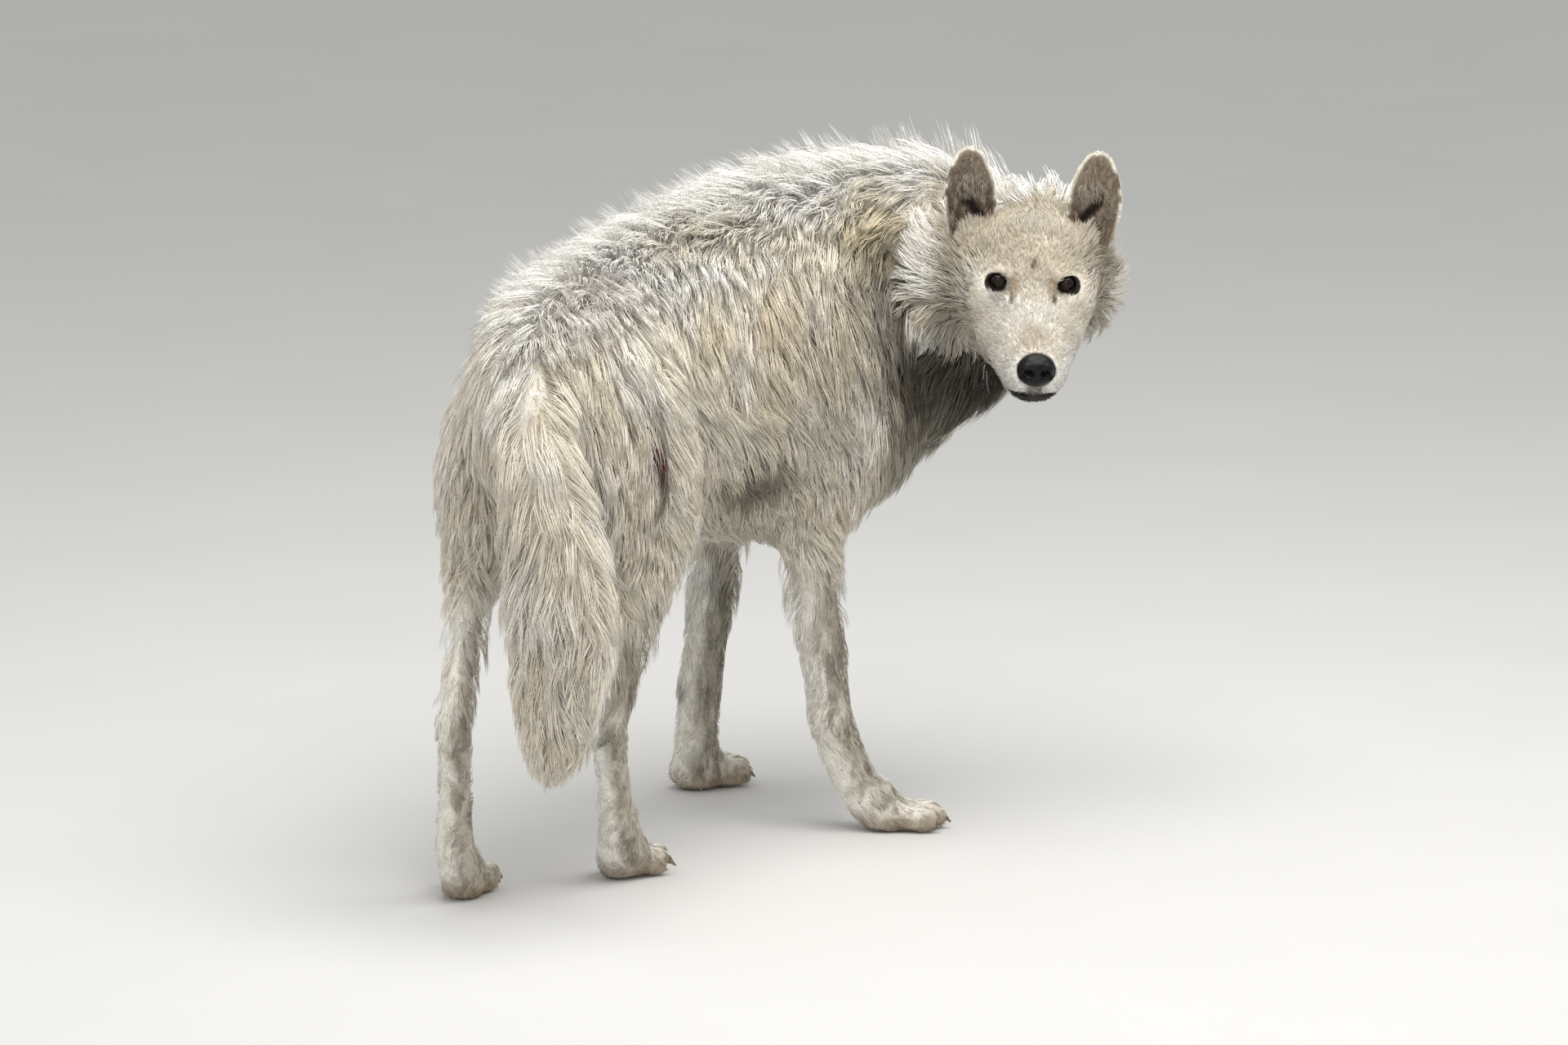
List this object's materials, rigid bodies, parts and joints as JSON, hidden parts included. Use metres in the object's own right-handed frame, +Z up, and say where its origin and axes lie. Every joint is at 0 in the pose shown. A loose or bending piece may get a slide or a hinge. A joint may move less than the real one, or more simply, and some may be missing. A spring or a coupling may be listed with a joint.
{
  "type": "arctic wolf",
  "caption": "Life-size still figure of a white-coated wolf, standing on all fours and looking back over its right shoulder.",
  "frame": {"origin": "middle of the bounding box in plan, on the ground under the feet", "axes": "+X the way the trunk faces, +Y to the wolf's left, +Z up"},
  "size_m": [1.074, 0.5924, 0.8454],
  "materials": {
    "coat": "long creamy white hair, tan on the flanks, greyer under the neck and inside the legs",
    "eye": "wet, very dark brown",
    "nose_leather": "moist black leather with a fine pebble grain",
    "claw_horn": "worn brown horn"
  },
  "bodies": {
    "root": {"trunk": "coat", "neck": "coat", "head": "coat", "tail_upper": "coat", "tail_lower": "coat", "ear_left": "coat", "ear_right": "coat", "hindleg_left_shank": "coat", "hindleg_left_foot": "coat", "hindleg_right_shank": "coat", "hindleg_right_foot": "coat", "foreleg_left_forearm": "coat", "foreleg_left_foot": "coat", "foreleg_right_forearm": "coat", "foreleg_right_foot": "coat", "eye_left": "eye", "eye_right": "eye", "nose": "nose_leather", "hindleg_left_claw_1": "claw_horn", "hindleg_left_claw_2": "claw_horn", "hindleg_left_claw_3": "claw_horn", "hindleg_left_claw_4": "claw_horn", "hindleg_right_claw_1": "claw_horn", "hindleg_right_claw_2": "claw_horn", "hindleg_right_claw_3": "claw_horn", "hindleg_right_claw_4": "claw_horn", "foreleg_left_claw_1": "claw_horn", "foreleg_left_claw_2": "claw_horn", "foreleg_left_claw_3": "claw_horn", "foreleg_left_claw_4": "claw_horn", "foreleg_right_claw_1": "claw_horn", "foreleg_right_claw_2": "claw_horn", "foreleg_right_claw_3": "claw_horn", "foreleg_right_claw_4": "claw_horn"}
  },
  "joints": []
}
